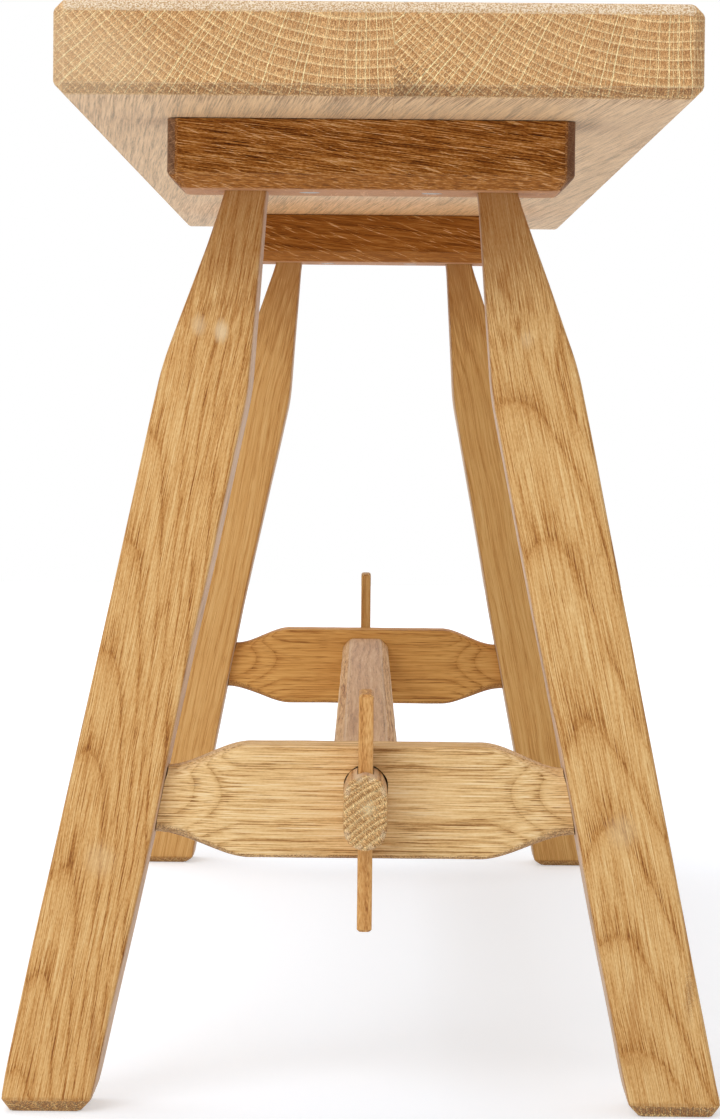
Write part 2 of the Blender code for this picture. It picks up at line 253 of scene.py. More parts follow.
def placeRings(outlines, axis, levels):
    # outlines of two coordinates each, set at the levels of the third
    if np.ndim(levels) == 1:
        levels = np.broadcast_to(levels[:, None], outlines.shape[:2])
    columns = [outlines[:, :, 0], outlines[:, :, 1]]
    columns.insert(axis, levels)
    return np.stack(columns, axis=-1)


def fourCorners(low, high):
    # the corners round each rectangle from its low corner to its high one
    corners = [low, np.stack([high[:, 0], low[:, 1]], -1), high, np.stack([low[:, 0], high[:, 1]], -1)]
    return np.stack(corners, axis=1)


def eightCorners(half, cuts):
    # the corners round a rectangle of given half sizes, whose own corners are cut off at 45 degrees
    signs = np.repeat([(1, 1), (-1, 1), (-1, -1), (1, -1)], 2, axis=0)
    shortened = np.array([(0, 1), (1, 0), (1, 0), (0, 1)] * 2)
    return signs * (half[:, None] - shortened * cuts[:, None, None])


def mirrored(values, sign=1):
    # values from a piece's middle outwards, carried on to its other end
    return np.concatenate([sign * values[:0:-1], values])


def taperedHole(node, bottom, top, grow, below=overrun):
    # the upright hole for a tapered CAD node: its box 1 mm inside the wood's two faces, carried on past both
    inside = [bottom + 1 * mm, top - 1 * mm]
    reach = np.array([bottom - below, top + overrun])
    low, high = slices(node, 2, inside)
    share = (reach - inside[0]) / (inside[1] - inside[0])
    low = low[0] + share[:, None] * (low[1] - low[0]) - grow
    high = high[0] + share[:, None] * (high[1] - high[0]) + grow
    return placeRings(fourCorners(low, high), 2, reach)


def screwHoles(end, hands, grow):
    # the round holes that the CAD screws stand in: circles at 40 heights, wider by `grow` and open below
    holes = []
    for hand in hands:
        screw = "screw_" + end + "_" + hand
        low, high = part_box(screw)
        heights = np.linspace(low.z + 2 * hair, high.z - 2 * hair, 40)
        widths = slices(screw, 2, heights)
        radius = (widths[1] - widths[0]).max(axis=1) / 2 + grow
        heights = np.concatenate([[low.z - overrun], heights, [high.z + grow]])
        radius = np.concatenate([radius[:1], radius, radius[-1:]])
        angle = np.linspace(0, math.tau, 24, endpoint=False)
        middle = (low + high) / 2
        circles = np.stack([np.cos(angle), np.sin(angle)], -1)[None] * radius[:, None, None]
        holes.append(placeRings(circles + np.array([middle.x, middle.y]), 2, heights))
    return holes


# Materials

softEnds = {"interpolation_type": "SMOOTHSTEP"}
colours = {"data_type": "RGBA"}     # for Mix: socket 0 is a share, 6 and 7 are colours, output 2 the mix


def linear(colour):
    # an sRGB hex colour as linear red, green, blue and a solid alpha
    channels = [int(colour[i:i + 2], 16) / 255 for i in (0, 2, 4)]
    return [c / 12.92 if c <= 0.04045 else ((c + 0.055) / 1.055) ** 2.4 for c in channels] + [1.0]


def feed(tree, made, links):
    # links name what feeds each socket: another node's output, or a node for its first output
    for socket, source in links.items():
        tree.links.new(source.outputs[0] if hasattr(source, "outputs") else source, made.inputs[socket])


def addNode(tree, kind, settings=None, links=None):
    # one node, with its operation after its kind if it has one: settings name its sockets or its properties
    kind, *operation = kind.split()
    made = tree.nodes.new("ShaderNode" + kind)
    if operation:
        made.operation = operation[0]
    for key, value in (settings or {}).items():
        if isinstance(key, int) or key in made.inputs:
            made.inputs[key].default_value = value
        else:
            setattr(made, key, value)
    feed(tree, made, links or {})
    return made


def newMaterial(name, settings):
    # a material, its shader with these settings, and what adds a node to it
    made = bpy.data.materials.new(name)
    made.use_nodes = True
    shader = made.node_tree.nodes["Principled BSDF"]
    for socket, value in settings.items():
        shader.inputs[socket].default_value = value
    return made, shader, partial(addNode, made.node_tree)


def setRamp(ramp, stops):
    # colour stops as share: hex
    stops = sorted(stops.items())
    while len(ramp.elements) < len(stops):
        ramp.elements.new(0.5)
    for element, (share, colour) in zip(ramp.elements, stops):
        element.position = share
        element.color = linear(colour)


def woodTurn(grain, outwards):
    # the turn that lays a pattern's Z along the grain and its X from the pith out to the wood
    along = Vector(grain).normalized()
    out = Vector(outwards)
    out = (out - along * out.dot(along)).normalized()
    return Matrix((out, along.cross(out), along)).transposed().to_euler()


def perMm(width, length, deep=1.0):
    # a pattern's steps per millimetre outwards, across the grain and along it
    return (1 / width / deep, 1 / width, 1 / length)


def tint(facing, start, full, share, colour, fine=False, blend="MIX"):
    # a tint on faces turned one way, from the cosine where it starts to where it is full, whole or in flakes
    return {"facing": facing, "start": start, "full": full, "share": share, "colour": colour, "fine": fine,
            "blend": blend}


def stainAndPaintedLight(at, size, share, colour, ragged=0.5, edge="fibre", blend="MIX"):
    # a mark round one place of the frame, in metres, a stain on most pieces and painted shade or a painted
    # highlight on some, whose rim frays along the fibres, the ticks or the grit
    return {"at": at, "size": size, "share": share, "colour": colour, "ragged": ragged, "edge": edge,
            "blend": blend}


# Oak, sawn or hewn, then oiled. Growth rings are shells round the pith, rays are thin sheets that run out
# from it, and vessels are fine tubes along the grain, so one solid pattern gives end grain, flame and fleck.
# Widths and lengths are in mm. A share is how far a pattern moves the tone, or mixes its colour in.
oakBase = {
    # a year's width, how it narrows outwards, how unlike years are over how many mm, how the trunk narrows
    # upwards, how far its centre line wanders, and over what width and length
    "ringWidth": 4.0, "ringTighten": 0.0, "ringDrift": 1.2, "driftWidth": 11, "trunkTaper": 0.0,
    "bend": 3.0, "bendSize": (60, 260),
    # the tone through each year, and a thin dark line at its start
    "ringShare": 0.12, "ringLine": 0.0,
    # the oil: roughness, specular level and its own tone, and how much relief the grain has under it
    "rough": 0.58, "sheen": 0.3, "dye": "FFFFFF", "bump": 0.35,
    # colours from dark to light along the grain, then through one year across it
    "face": {0.0: "7C4E22", 0.25: "B37F47", 0.5: "D5A66D", 0.75: "E8C490", 1.0: "F4DCB2"},
    "end": {0.0: "E6C18C", 0.08: "E2BA84", 0.14: "B67F4B", 0.45: "BE8953", 0.8: "C8955F", 0.95: "D0A26D",
            1.0: "E6C18C"},
    # rays and fine rays: their gap at a distance from the pith, a ray's width as a share of it, and how many
    # times a year they fade
    "rayAt": 100, "rayGap": 3.0, "rayWidth": 0.055, "rayShare": 0.95, "rayBreaks": 0.3, "fineRayGap": 0.97,
    "fineRayWidth": 0.10, "fineRayShare": 0.28, "rayColour": "F8E6AE",
    # fibres and slower streaks: width, length, share; a vessel's width and length; how many times as deep as
    # wide both are
    "streaks": [(0.45, 22, 0.50), (1.1, 45, 0.20), (7, 150, 0.12)], "pore": (0.42, 11), "poreShare": 0.24,
    "deep": 1.0,
    # the nap left by saw and plane: torn fibre ends, about twice as coarse as real ones so that they show
    "nap": (0.55, 1.5), "gritShare": 0.2,
    # end grain's fuzz of cut fibres, ticks along the rays and cloudy patches, and flakes for a fine tint
    "gritWidth": 0.34, "speckle": 0.34, "tickWidth": 0.34, "tickShare": 0.30, "patch": (9, 30),
    "flakeWidth": 0.7,
    # arrises, rubbed paler on most pieces and darker on the legs, and the cosine to the grain from which a
    # surface shows end grain
    "edgeShare": 0.35, "edgeColour": "E9CBA0", "endFrom": 0.42,
    "tints": [], "stainsAndPaintedLight": [], "flecks": None,
}


def oakWood(name, changes):
    look = {**oakBase, **changes}
    made, shader, add = newMaterial(name, {"Specular IOR Level": look["sheen"]})
    coordinates = add("TexCoord")
    place, normal = coordinates.outputs["Object"], coordinates.outputs["Normal"]
    inWood = add("Mapping", {"vector_type": "TEXTURE", "Location": look["pith"], "Scale": (mm, mm, mm),
                             "Rotation": woodTurn(look["grain"], look["outwards"])}, {"Vector": place})

    # growth rings, whose centre line wanders slowly along the grain
    slow = add("VectorMath MULTIPLY", {1: perMm(*look["bendSize"])}, {0: inWood})
    wander = add("TexNoise", {"Scale": 1.0, "Detail": 2.0}, {"Vector": slow})
    bent = add("VectorMath MULTIPLY_ADD", {1: (look["bend"] * 2, look["bend"] * 2, 0)},
               {0: wander.outputs["Color"], 2: inWood})
    flat = add("VectorMath MULTIPLY", {1: (1, 1, 0)}, {0: bent})
    radius = add("VectorMath LENGTH", {}, {0: flat}).outputs["Value"]
    seasons = add("TexNoise", {"noise_dimensions": "1D", "Scale": 1 / look["driftWidth"], "Detail": 1.0},
                  {"W": radius})
    rate = add("Math MULTIPLY_ADD", {1: look["ringTighten"], 2: 1 / look["ringWidth"]}, {0: radius})
    years = add("Math MULTIPLY", {}, {0: radius, 1: rate})
    years = add("Math MULTIPLY_ADD", {1: look["ringDrift"]}, {0: seasons, 2: years})
    split = add("SeparateXYZ", {}, {"Vector": bent})
    years = add("Math MULTIPLY_ADD", {1: look["trunkTaper"] / look["ringWidth"]},
                {0: split.outputs["Z"], 2: years})

    # streaks along the grain, from single fibres to slow drifts of tone
    fibre = shade = None
    for width, length, share in look["streaks"]:
        drawn = add("VectorMath MULTIPLY", {1: perMm(width, length, look["deep"])}, {0: bent})
        streak = add("TexNoise", {"Scale": 1.0, "Detail": 2.0, "Roughness": 0.55}, {"Vector": drawn})
        if fibre is None:
            fibre = streak
            shade = add("Math MULTIPLY_ADD", {1: 2 * share, 2: 0.5 - share}, {0: streak})
        else:
            off = add("Math SUBTRACT", {1: 0.5}, {0: streak})
            shade = add("Math MULTIPLY_ADD", {1: 2 * share}, {0: off, 2: shade})

    # the year's tone, frayed by fibres: dark early wood that clears, a darker end, and the line at its start
    years = add("Math MULTIPLY_ADD", {1: 0.22}, {0: fibre, 2: years})
    season = add("Math FRACT", {}, {0: years})
    ring, line = look["ringShare"], look["ringLine"]
    for start, stop, before, after in ((0.0, 0.45, -ring, ring / 2), (0.80, 1.0, 0.0, -1.5 * ring),
                                       (0.0, 0.11, -line, 0.0)):
        tone = add("MapRange", {**softEnds, "From Min": start, "From Max": stop, "To Min": before,
                                "To Max": after}, {"Value": season})
        shade = add("Math ADD", {}, {0: tone, 1: shade})

    # vessels: dark dashes along the grain, close together in each year's early wood
    drawn = add("VectorMath MULTIPLY", {1: perMm(*look["pore"], look["deep"])}, {0: bent})
    vessel = add("TexNoise", {"Scale": 1.0, "Detail": 1.0, "Roughness": 0.55}, {"Vector": drawn})
    early = add("MapRange", {**softEnds, "From Min": 0.5, "From Max": 0.05, "To Min": 0.60, "To Max": 0.50},
                {"Value": season})
    vesselOver = add("Math SUBTRACT", {}, {0: vessel, 1: early})
    pores = add("MapRange", {"From Min": 0.0, "From Max": 0.10}, {"Value": vesselOver})
    shade = add("Math MULTIPLY_ADD", {1: -look["poreShare"]}, {0: pores, 2: shade})
    height = add("Math MULTIPLY_ADD", {1: -1.0, 2: 1.0}, {0: pores})

    # nap on the faces, then light flecks where rays lie almost in the surface
    drawn = add("VectorMath MULTIPLY", {1: perMm(*look["nap"])}, {0: inWood})
    nap = add("TexNoise", {"Scale": 1.0, "Detail": 1.0, "Roughness": 0.6}, {"Vector": drawn})
    off = add("Math SUBTRACT", {1: 0.5}, {0: nap})
    shade = add("Math MULTIPLY_ADD", {1: look["gritShare"]}, {0: off, 2: shade})
    if look["flecks"]:
        fleck = look["flecks"]
        turned = add("Mapping", {"vector_type": "TEXTURE", "Rotation": fleck["turn"],
                                 "Scale": [s * mm for s in fleck["size"]]}, {"Vector": place})
        ribbon = add("TexNoise", {"Scale": 1.0, "Detail": 1.5, "Distortion": fleck["curl"]},
                     {"Vector": turned})
        shine = add("MapRange", {**softEnds, "From Min": fleck["from"], "From Max": fleck["from"] + 0.06},
                    {"Value": ribbon})
        shade = add("Math MULTIPLY_ADD", {1: fleck["share"]}, {0: shine, 2: shade})
    faceRamp = add("ValToRGB", {}, {"Fac": shade})
    setRamp(faceRamp.color_ramp, look["face"])

    # end grain: pale lines at each year's start, crossed by rays
    endRamp = add("ValToRGB", {}, {"Fac": season})
    setRamp(endRamp.color_ramp, look["end"])
    angle = add("Math ARCTAN2", {}, {0: split.outputs["Y"], 1: split.outputs["X"]})
    endColour = endRamp.outputs[0]
    patch = add("VectorMath MULTIPLY", {1: perMm(*look["patch"])}, {0: inWood})
    patches = add("TexNoise", {"Scale": 1.0, "Detail": 2.0}, {"Vector": patch})
    slowYears = add("Math MULTIPLY", {1: look["rayBreaks"]}, {0: years})
    for kind in ("ray", "fineRay"):
        width = look[kind + "Width"]
        turns = add("Math MULTIPLY", {1: look["rayAt"] / look[kind + "Gap"]}, {0: angle})
        turns = add("Math MULTIPLY_ADD", {1: 0.3}, {0: patches, 2: turns})
        sheets = add("TexVoronoi", {"voronoi_dimensions": "1D", "feature": "DISTANCE_TO_EDGE", "Scale": 1.0},
                     {"W": turns})
        line = add("MapRange", {**softEnds, "From Min": width * 1.7, "From Max": width * 0.5},
                   {"Value": sheets})
        cell = add("CombineXYZ", {}, {"X": turns, "Y": slowYears})
        strong = add("TexNoise", {"noise_dimensions": "2D", "Scale": 1.0, "Detail": 1.0}, {"Vector": cell})
        held = add("MapRange", {"From Min": 0.34, "From Max": 0.58, "To Max": look[kind + "Share"]},
                   {"Value": strong})
        line = add("Math MULTIPLY", {}, {0: line, 1: held})
        endColour = add("Mix", {**colours, 7: linear(look["rayColour"])}, {0: line, 6: endColour}).outputs[2]

    # fine radial ticks and the fuzz of cut fibre ends
    turns = add("Math MULTIPLY", {1: look["rayAt"] / look["tickWidth"]}, {0: angle})
    outwards = add("Math MULTIPLY", {1: 1 / (4.7 * look["tickWidth"])}, {0: radius})
    cell = add("CombineXYZ", {}, {"X": turns, "Y": outwards})
    ticks = add("TexNoise", {"noise_dimensions": "2D", "Scale": 1.0, "Detail": 1.0}, {"Vector": cell})
    grit = add("TexNoise", {"Scale": 1 / look["gritWidth"], "Detail": 1.0, "Roughness": 0.6},
               {"Vector": inWood})
    strength = add("MapRange", {"From Min": 0.3, "From Max": 0.7, "To Min": 0.93, "To Max": 1.06},
                   {"Value": patches})
    for source, share in ((grit, look["speckle"]), (ticks, look["tickShare"])):
        fuzz = add("MapRange", {"From Min": 0.3, "From Max": 0.7, "To Min": 1 - share, "To Max": 1 + share},
                   {"Value": source})
        strength = add("Math MULTIPLY", {}, {0: fuzz, 1: strength})
    endColour = add("VectorMath MULTIPLY", {}, {0: endColour, 1: strength})
    pale = add("MapRange", {"From Min": 1.0, "From Max": 1.6, "To Max": 0.35}, {"Value": strength})
    endColour = add("Mix", {**colours, 7: linear(look["rayColour"])}, {0: pale, 6: endColour}).outputs[2]

    # end grain shows where the surface crosses the grain
    along = Vector(look["grain"]).normalized()
    square = add("VectorMath DOT_PRODUCT", {1: along}, {0: normal})
    square = add("Math ABSOLUTE", {}, {0: square.outputs["Value"]})
    isEnd = add("MapRange", {**softEnds, "From Min": look["endFrom"], "From Max": look["endFrom"] + 0.22},
                {"Value": square})
    colour = add("Mix", colours, {0: isEnd, 6: faceRamp, 7: endColour})

    # tints by facing, some in small flakes, then stains by place; some of both are painted shade, highlight
    # or sheen
    crumbs = add("TexNoise", {"Scale": 1 / look["flakeWidth"], "Detail": 1.0}, {"Vector": inWood})
    flakes = add("MapRange", {"From Min": 0.42, "From Max": 0.58}, {"Value": crumbs})
    for part in look["tints"]:
        facing = Vector(part["facing"]).normalized()
        turned = add("VectorMath DOT_PRODUCT", {1: facing}, {0: normal})
        amount = add("MapRange", {**softEnds, "From Min": part["start"], "From Max": part["full"],
                                  "To Max": part["share"]}, {"Value": turned.outputs["Value"]})
        if part["fine"]:
            amount = add("Math MULTIPLY", {}, {0: amount, 1: flakes})
        colour = add("Mix", {**colours, "blend_type": part["blend"], 7: linear(part["colour"])},
                     {0: amount, 6: colour.outputs[2]})
    edges = {"fibre": fibre, "grit": grit, "ticks": ticks}
    for mark in look["stainsAndPaintedLight"]:
        off = add("VectorMath SUBTRACT", {1: mark["at"]}, {0: place})
        off = add("VectorMath DIVIDE", {1: mark["size"]}, {0: off})
        far = add("VectorMath LENGTH", {}, {0: off})
        ragged = add("Math MULTIPLY_ADD", {1: mark["ragged"]},
                     {0: edges[mark["edge"]], 2: far.outputs["Value"]})
        amount = add("MapRange", {**softEnds, "From Min": 1.35, "From Max": 0.75, "To Max": mark["share"]},
                     {"Value": ragged})
        colour = add("Mix", {**colours, "blend_type": mark["blend"], 7: linear(mark["colour"])},
                     {0: amount, 6: colour.outputs[2]})

    # arrises rubbed a little paler, except on the legs, whose arrises turn darker, then the tone of this
    # piece's oil
    worn = add("Attribute", {"attribute_name": "wear"})
    rubbed = add("Math MULTIPLY", {}, {0: worn.outputs["Fac"], 1: grit})
    rubbed = add("MapRange", {"From Min": 0.25, "From Max": 0.6, "To Max": look["edgeShare"]},
                 {"Value": rubbed})
    colour = add("Mix", {**colours, 7: linear(look["edgeColour"])}, {0: rubbed, 6: colour.outputs[2]})
    colour = add("Mix", {**colours, "blend_type": "MULTIPLY", 0: 1.0, 7: linear(look["dye"])},
                 {6: colour.outputs[2]})
    rough = add("MapRange", {"To Min": look["rough"] + 0.08, "To Max": look["rough"] - 0.06},
                {"Value": shade})
    depth = add("Mix", {"data_type": "FLOAT"}, {0: isEnd, 2: height, 3: grit})
    bumps = add("Bump", {"Strength": look["bump"], "Distance": 0.35 * mm}, {"Height": depth})
    feed(made.node_tree, shader, {"Base Color": colour.outputs[2], "Roughness": rough, "Normal": bumps})
    return made


# Seat

seatShape = {"arris": 1.0, "jointArris": 0.1, "jointLean": 0.004, "jointHeld": 0.5, "screwGap": 0.2,
             "waveDepth": 0.05, "waveLength": 60, "lengthSteps": 230, "widthSteps": 46, "sideSteps": 9}


def seatBoard(hand, seed, material):
    # outline across the board at every station along it, drawn in at both ends by the end chamfer
    name = "seat_board_" + hand
    towards = handSigns[hand]
    low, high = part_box(name)
    outer = low.x if hand == "left" else high.x
    joint = (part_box("seat_board_left")[1].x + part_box("seat_board_right")[0].x) / 2      # glued up tight
    sides = slices(name, 2, [(low.z + high.z) / 2, high.z - hair])[0 if hand == "left" else 1][:, 0]
    chamfer = abs(sides[0] - sides[1])
    half = high.y
    stations = np.array([[(-half, chamfer + endRim), (-half, chamfer), (chamfer - half, 0),
                          (half - chamfer, 0), (half, chamfer), (half, chamfer + endRim)]])
    arris, jointArris = seatShape["arris"] * mm, seatShape["jointArris"] * mm
    path, pathWear = soften(stations, arris, [1, 2, seatShape["lengthSteps"], 2, 1], 4, False)
    along, inset = path[0, :, 0], path[0, :, 1]
    cornerInset = np.maximum(inset, chamfer)
    nearX, edgeX = outer - towards * cornerInset, outer - towards * inset
    jointX = joint + towards * seatShape["jointLean"] * inset
    bottom, top = low.z + inset, high.z - inset
    x = [jointX, nearX, edgeX, edgeX, nearX, jointX]
    z = [bottom, bottom, low.z + cornerInset, high.z - cornerInset, top, top]
    outlines = np.array([x, z]).T
    rounding = np.array([jointArris] + [arris] * 4 + [jointArris])
    wide, side = seatShape["widthSteps"], seatShape["sideSteps"]
    outline, wear = soften(outlines, rounding, [wide, 1, side, 1, wide, side])
    wear = np.maximum(wear[None], pathWear[:, None])
    held = np.abs(outline[:, :, 0] - joint) < seatShape["jointHeld"] * mm       # no waves at the joint
    rings = placeRings(outline, 1, along)
    board = addPiece(name, rings, wear, seatShape, material, seed, held=held)
    holes = []
    for end in endSigns:
        holes += screwHoles(end, [hand], seatShape["screwGap"] * mm)
    hollow(board, holes)


# Battens

battenShape = {"corner": 4.0, "footCorner": 2.0, "arris": 0.9, "screwGap": 0.1, "waveDepth": 0.15,
               "waveLength": 40, "lengthSteps": 70, "depthSteps": 22}


def battenPiece(end, seed, material):
    # eight-sided outlines up the batten, drawn in below by the foot chamfer
    name = "batten_" + end
    low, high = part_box(name)
    chamfer = high.x - slices(name, 2, [low.z + hair])[1][0, 0]
    stations = np.array([[(chamfer + endRim, low.z), (chamfer, low.z), (0, low.z + chamfer), (0, high.z)]])
    path, pathWear = soften(stations, battenShape["arris"] * mm, [1, 3, 12], 4, False)
    inset, heights = path[0, :, 0], path[0, :, 1]
    halfSizes = np.array([(high.x - low.x) / 2, (high.y - low.y) / 2]) - inset[:, None]
    corner, footCorner = battenShape["corner"], battenShape["footCorner"]
    cuts = (corner - (corner - footCorner) * np.minimum(inset / chamfer, 1)) * mm
    outlines = eightCorners(halfSizes, cuts) + np.array([0, (low.y + high.y) / 2])
    sides = [1, battenShape["lengthSteps"], 1, battenShape["depthSteps"]] * 2
    outline, wear = soften(outlines, battenShape["arris"] * mm, sides)
    wear = np.maximum(wear[None], pathWear[:, None])
    rings = placeRings(outline, 2, heights)
    piece = addPiece(name, rings, wear, battenShape, material, seed)
    holes = []
    for hand in handSigns:
        hole = taperedHole("leg_" + end + "_" + hand, low.z, high.z, gap)
        hole[:, :, 0] += trimmed(end, hand, hole[:, 0, 2], high.z)
        holes.append(hole)
    hollow(piece, holes + screwHoles(end, handSigns, battenShape["screwGap"] * mm))


# Legs

legShape = {"arris": 1.7, "arrisWear": 0.5, "waveDepth": 0.22, "waveLength": 55, "shoulderSoftness": 7.0,
            "footHeight": 20.0, "step": 2.6, "sideSteps": 9, "socketDepth": 40.0,
            "footChamfer": {"front": (4.2, 5.6), "rear": (4.2, 3.4)}}        # as drawn in CAD, and here

# No two hewn legs are alike: how far each upright edge stands in X from the drawn leg, as height: mm. Low
# and high edges are at the leg's lower and higher X, near ones on its front face, far ones on its rear face.
legTrim = {
    ("front", "left"): {
        "low": {0: 0.2, 6: 0, 15: -0.8, 45: -1.1, 75: -1.1, 105: -0.7, 165: -0.3, 225: 0, 285: 0.1, 330: 0.4,
                360: 0.8, 384: 0.2},
        "highNear": {0: -2.5, 45: -2.0, 75: -0.9, 100: -0.3, 110: 0, 150: 0, 195: 0, 229: 1.2, 262: 1.5,
                     300: 2.0, 384: 2.0},
        "highFar": {0: -2.2, 45: -1.4, 75: -0.6, 100: -0.2, 110: 0, 150: 0, 195: 0.8, 229: 1.7, 262: 2.2,
                    300: 2.7, 384: 2.4}},
    ("front", "right"): {
        "low": {0: 0, 45: -0.1, 75: -0.4, 100: -0.3, 110: 0, 150: 0, 165: -0.6, 195: -1.1, 225: -1.25,
                300: -1.25, 384: -1.0},
        "lowFar": {0: 0.4, 30: 0.3, 75: -0.1, 110: 0, 150: 0, 195: -0.4, 225: -0.5, 300: -0.5, 384: -0.4},
        "high": {0: -1.6, 45: -1.3, 75: -1.1, 105: -0.8, 165: -0.4, 195: 0, 285: 0.45, 345: 0.5, 384: 0.2}},
    ("rear", "left"): {"all": {165: 0, 195: 0.7, 221: 1.4, 246: 2.1, 272: 2.8, 297: 3.4, 384: 3.6}},
    ("rear", "right"): {"all": {165: 0, 195: 0.6, 246: 1.1, 297: 1.4, 347: 2.2, 384: 2.6}}}


def trimmed(end, hand, heights, top):
    # the four edges' shifts in metres at the given heights, fading to none at the leg's top
    trim = legTrim[end, hand]
    either = trim.get("all")
    edges = [trim.get(names[0], trim.get(names[1], either)) for names in
             (("low", "lowNear"), ("high", "highNear"), ("highFar", "high"), ("lowFar", "low"))]
    shifts = [np.interp(heights, np.append(list(edge), top / mm) * mm, np.append(list(edge.values()), 0))
              for edge in edges]
    return np.stack(shifts, axis=1) * mm


def legPiece(end, hand, seed, material):
    # the CAD leg's box at every height, with its shoulder averaged over a short way up and down
    name = "leg_" + end + "_" + hand
    low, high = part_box(name)
    footHeight = legShape["footHeight"] * mm
    foot = np.array([0.02, 0.5, 1.4, 2.4, 3.4, 4.4, 5.2, 5.6, 6.2, 7.2, 8.6, 10.5, 13.0, 16.0]) * mm
    heights = np.concatenate([foot, np.arange(footHeight, high.z - 0.05 * mm, legShape["step"] * mm),
                              [high.z - 2 * hair]])
    spread = legShape["shoulderSoftness"] * mm * np.array([-1, -0.5, 0, 0.5, 1])
    reach = np.clip(np.minimum(heights - footHeight, high.z - heights - 2 * hair), 0, None)
    shrink = np.minimum(reach / spread[-1], 1)
    drawn, cut = (size * mm for size in legShape["footChamfer"][end])
    above = cut + 8 * mm
    drawnHeights = np.interp(heights, [0, cut, above, 1], [0, drawn, above, 1])
    lows, highs = np.mean([slices(name, 2, drawnHeights + offset * shrink) for offset in spread], axis=0)
    corners = fourCorners(lows, highs)
    corners[:, :, 0] += trimmed(end, hand, heights, high.z)
    outline, wear = soften(corners, legShape["arris"] * mm, [legShape["sideSteps"]] * 4)
    footWear = np.exp(-((heights - cut) / (1.0 * mm)) ** 2)
    levels = heights + (low.z - heights[0]) * (heights < heights[1])        # the sole stands on the floor
    wear = np.maximum(wear[None], footWear[:, None])
    piece = addPiece(name, placeRings(outline, 2, levels), wear, legShape, material, seed)
    wedge = "tenon_wedge_" + end + "_" + hand
    wedgeLow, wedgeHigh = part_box(wedge)
    kerf = taperedHole(wedge, wedgeLow.z, wedgeHigh.z, np.array([gap, 2 * mm]), gap)
    cross, side = "cross_stretcher_" + end, handSigns[hand]
    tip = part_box(cross)[(side + 1) // 2].x
    tenonLow, tenonHigh = slices(cross, 0, [tip - side * 5 * mm, tip - side * 10 * mm])
    start, stop = np.min(tenonLow, axis=0) - gap, np.max(tenonHigh, axis=0) + gap
    reach = np.array([tip - side * legShape["socketDepth"] * mm, tip + side * gap])
    socket = placeRings(fourCorners(np.array([start, start]), np.array([stop, stop])), 0, reach)
    hollow(piece, [kerf, socket])


# Cross stretchers

crossShape = {"straight": 96.0, "straightSteps": 26, "neckSteps": 32, "arris": 1.6, "neckArris": 6.0,
              "tenonArris": 2.0, "arrisWear": 0.7, "waveDepth": 0.25, "waveLength": 22}


def crossPiece(end, seed, material):
    # a beam whose height, depth and rounding shrink along a smooth S from its straight part to the legs
    name = "cross_stretcher_" + end
    low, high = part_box(name)
    middleY, middleZ = (low.y + high.y) / 2, (low.z + high.z) / 2
    legInside = slices("leg_" + end + "_right", 2, [middleZ - 8 * mm, middleZ, middleZ + 8 * mm])[0][:, 0]
    splay = (legInside[2] - legInside[0]) / (16 * mm)
    face = legInside[1] + 0.1 * mm
    tip = high.x - abs(splay) * 10 * mm
    fullLow, fullHigh = slices(name, 0, [30 * mm, face - 3 * mm, tip - 4 * mm])
    straight = crossShape["straight"] / 2 * mm
    beam, neck = crossShape["straightSteps"], crossShape["neckSteps"]
    shares = np.concatenate([np.zeros(beam), np.linspace(0, 1, neck), [1, 1]])
    across = np.concatenate([np.linspace(0, straight, beam, endpoint=False),
                             np.linspace(straight, face, neck), [face, tip]])
    smooth = shares * shares * (3 - 2 * shares)
    sizes = (fullHigh - fullLow) / 2
    halfSizes = sizes[0] + (sizes[1] - sizes[0]) * smooth[:, None]
    rounding = (crossShape["arris"] + (crossShape["neckArris"] - crossShape["arris"]) * smooth) * mm
    halfSizes[-2:] = sizes[2]
    rounding[-2:] = crossShape["tenonArris"] * mm
    shear = splay * shares ** 2
    across, shear = mirrored(across, -1), mirrored(shear, -1)
    halfSizes, rounding = mirrored(halfSizes), mirrored(rounding)
    outline, wear = soften(fourCorners(-halfSizes, halfSizes), rounding[:, None], [8, 14, 8, 14], 6)
    levels = across[:, None] + shear[:, None] * outline[:, :, 1]        # the shoulders lean as the legs do
    piece = addPiece(name, placeRings(outline + np.array([middleY, middleZ]), 0, levels), wear, crossShape,
                     material, seed)
    tenonLow, tenonHigh = slices("long_stretcher", 1, [middleY - 5 * mm, middleY + 5 * mm])
    hollow(piece, [mortiseCutter(tenonLow, tenonHigh, low.y, high.y)])


# Long stretcher

longShape = {"chamfer": 5.0, "arris": 1.2, "tenonChamfer": 5.5, "tenonArris": 5.0, "tenonBevel": 1.5,
             "arrisWear": 0.6, "waveDepth": 0.30, "waveLength": 45, "beamSteps": 110, "tenonSteps": 26,
             "mortiseTurn": 1.1, "mortiseGap": 0.06, "mortiseArris": 3.0, "slotPlay": 1.5}


def mortiseCutter(tenonLow, tenonHigh, start, stop):
    # the tenon's outline a little larger and not quite square to it, right through the cross stretcher
    half = (tenonHigh - tenonLow) / 2 + longShape["mortiseGap"] * mm
    corners = eightCorners(half, np.full(2, longShape["tenonChamfer"] * mm))
    outline = soften(corners, longShape["mortiseArris"] * mm, [6] * 8)[0]
    turn = math.radians(longShape["mortiseTurn"])
    outline = outline @ np.array([[math.cos(turn), -math.sin(turn)], [math.sin(turn), math.cos(turn)]])
    outline = outline + (tenonLow + tenonHigh)[:, None] / 2
    return placeRings(outline, 1, np.array([start - overrun, stop + overrun]))


